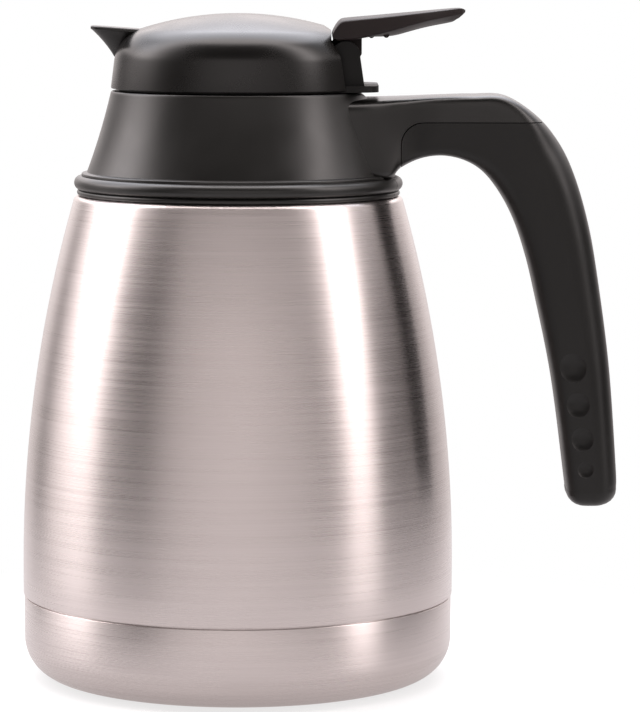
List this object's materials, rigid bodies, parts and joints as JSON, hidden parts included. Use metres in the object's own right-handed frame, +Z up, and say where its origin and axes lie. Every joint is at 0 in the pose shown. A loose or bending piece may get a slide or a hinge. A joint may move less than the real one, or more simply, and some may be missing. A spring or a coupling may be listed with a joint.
{
  "type": "vacuum carafe",
  "caption": "Steel vacuum carafe with a black neck and handle, a screw-in pouring lid with a beak spout, and a thumb lever that lifts a sprung valve.",
  "frame": {"origin": "on the flask's axis, at the plane of the foot", "axes": "+Z up along the flask's axis, +X towards the handle, -X towards the spout"},
  "size_m": [0.1794, 0.13, 0.2019],
  "materials": {
    "body_steel": "brushed round the axis",
    "inner_steel": "satin",
    "neck_plastic": "satin",
    "grip_plastic": "fine satin",
    "lid_plastic": "satin",
    "lever_plastic": "satin",
    "stopper_plastic": "satin",
    "seal_rubber": "matt silicone",
    "hardware_steel": "polished",
    "getter_alloy": "dull"
  },
  "bodies": {
    "flask": {"outer_shell": "body_steel", "inner_liner": "inner_steel", "vacuum_bottom": "inner_steel", "port_seal": "inner_steel", "getter": "getter_alloy", "base_cup": "body_steel", "neck": "neck_plastic", "collar_ring": "neck_plastic", "neck_gasket": "seal_rubber", "handle_grip": "grip_plastic", "handle_screws": "hardware_steel"},
    "seal_carrier": {"stopper_gasket": "seal_rubber"},
    "lid": {"lid_shell": "lid_plastic", "lid_base": "lid_plastic", "lid_screws": "hardware_steel", "stopper_cup": "stopper_plastic", "lever_pin": "hardware_steel", "valve_spring": "hardware_steel"},
    "lever": {"thumb_lever": "lever_plastic"},
    "valve": {"valve_stem": "stopper_plastic", "valve_seal": "seal_rubber", "stem_clip": "hardware_steel"}
  },
  "joints": [
    {"name": "lid_rise", "type": "slide", "parent": "flask", "child": "seal_carrier", "axis": [0, 0, 1], "range_m": [0, 0.036]},
    {"name": "lid_turn", "type": "hinge", "parent": "seal_carrier", "child": "lid", "pos_m": [0, 0, 0.17], "axis": [0, 0, 1], "range_deg": [0, 1080]},
    {"name": "lever_press", "type": "hinge", "parent": "lid", "child": "lever", "pos_m": [0.032, 0, 0.188], "axis": [0, 1, 0], "range_deg": [0, 12]},
    {"name": "valve_lift", "type": "slide", "parent": "lid", "child": "valve", "axis": [0, 0, 1], "range_m": [0, 0.0068], "stiffness_N_per_m": 300, "springref_m": -0.004, "deforming": ["valve_spring"]}
  ],
  "couplings": [
    {"joint": "lid_turn", "follows": "lid_rise", "rad_per_m": 523.6},
    {"joint": "valve_lift", "follows": "lever_press", "m_per_rad": 0.032}
  ]
}
